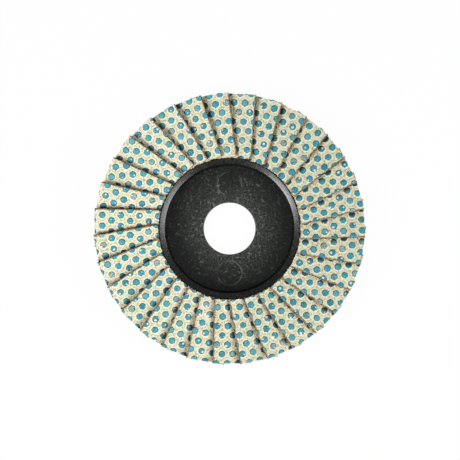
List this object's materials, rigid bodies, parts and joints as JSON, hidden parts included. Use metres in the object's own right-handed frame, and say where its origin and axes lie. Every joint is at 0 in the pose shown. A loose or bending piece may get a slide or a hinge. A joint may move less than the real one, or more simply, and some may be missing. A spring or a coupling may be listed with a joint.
{
  "type": "flap disc",
  "caption": "Angle grinder flap disc: overlapping abrasive cloth flaps fanned on a black backing plate with a sunken hub and centre bore.",
  "frame": {"origin": "centre of the bore at the hub's back face, where the grinder's flange bears", "axes": "+Z along the bore axis, out of the working face; X and Y lie across the disc"},
  "size_m": [0.1158, 0.1157, 0.0138],
  "materials": {
    "plate": "satin, fibre-filled",
    "resin": "cured resin",
    "cloth": "resin-coated cloth",
    "dots": "gritty"
  },
  "bodies": {
    "root": {"backing_plate": "plate", "resin_bed": "resin", "abrasive_dots": "dots", "flap_01": "cloth", "flap_02": "cloth", "flap_03": "cloth", "flap_04": "cloth", "flap_05": "cloth", "flap_06": "cloth", "flap_07": "cloth", "flap_08": "cloth", "flap_09": "cloth", "flap_10": "cloth", "flap_11": "cloth", "flap_12": "cloth", "flap_13": "cloth", "flap_14": "cloth", "flap_15": "cloth", "flap_16": "cloth", "flap_17": "cloth", "flap_18": "cloth", "flap_19": "cloth", "flap_20": "cloth", "flap_21": "cloth", "flap_22": "cloth", "flap_23": "cloth", "flap_24": "cloth", "flap_25": "cloth", "flap_26": "cloth", "flap_27": "cloth", "flap_28": "cloth", "flap_29": "cloth", "flap_30": "cloth", "flap_31": "cloth"}
  },
  "joints": []
}
